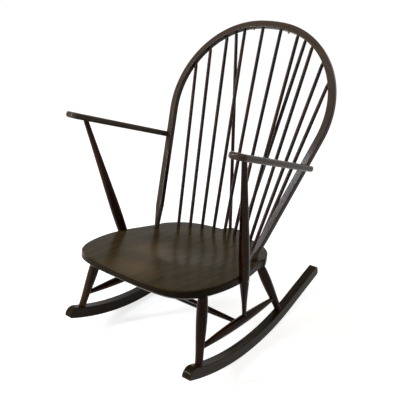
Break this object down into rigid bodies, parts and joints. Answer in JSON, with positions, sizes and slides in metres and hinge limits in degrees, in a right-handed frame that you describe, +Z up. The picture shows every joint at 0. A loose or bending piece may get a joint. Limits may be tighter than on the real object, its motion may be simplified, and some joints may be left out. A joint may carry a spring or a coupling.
{
  "type": "rocking chair",
  "caption": "Hoop back wooden rocking chair with fanned spindles, two back braces, flat arms on turned posts, turned legs and curved rockers.",
  "frame": {"origin": "on the floor under the middle of the chair's length and width", "axes": "+Z up, +Y to the back of the chair, +X to the sitter's left"},
  "size_m": [0.7072, 0.8038, 0.9987],
  "materials": {
    "seat_wood": "dark walnut stained elm, satin lacquer",
    "bent_wood": "dark walnut stained steam-bent ash, satin lacquer",
    "turned_wood": "dark walnut stained turned beech, gloss lacquer",
    "arm_wood": "dark walnut stained beech, satin lacquer",
    "rocker_wood": "dark walnut stained beech, satin lacquer",
    "plain_wood": "plain beech dowel, glued in and hidden",
    "peg_wood": "worn beech peg",
    "screw_steel": "slotted countersunk steel screw, dulled"
  },
  "bodies": {
    "root": {"seat": "seat_wood", "hoop": "bent_wood", "spindle_1": "turned_wood", "spindle_2": "turned_wood", "spindle_3": "turned_wood", "spindle_4": "turned_wood", "spindle_5": "turned_wood", "spindle_6": "turned_wood", "spindle_7": "turned_wood", "spindle_8": "turned_wood", "spindle_9": "turned_wood", "spindle_10": "turned_wood", "brace_left": "turned_wood", "brace_right": "turned_wood", "arm_left": "arm_wood", "arm_right": "arm_wood", "arm_post_left": "turned_wood", "arm_post_right": "turned_wood", "leg_front_left": "turned_wood", "leg_front_right": "turned_wood", "leg_back_left": "turned_wood", "leg_back_right": "turned_wood", "side_stretcher_left": "turned_wood", "side_stretcher_right": "turned_wood", "cross_stretcher": "turned_wood", "rocker_left": "rocker_wood", "rocker_right": "rocker_wood", "cushion_pegs": "peg_wood", "post_screws": "screw_steel", "arm_dowels": "plain_wood"}
  },
  "joints": []
}
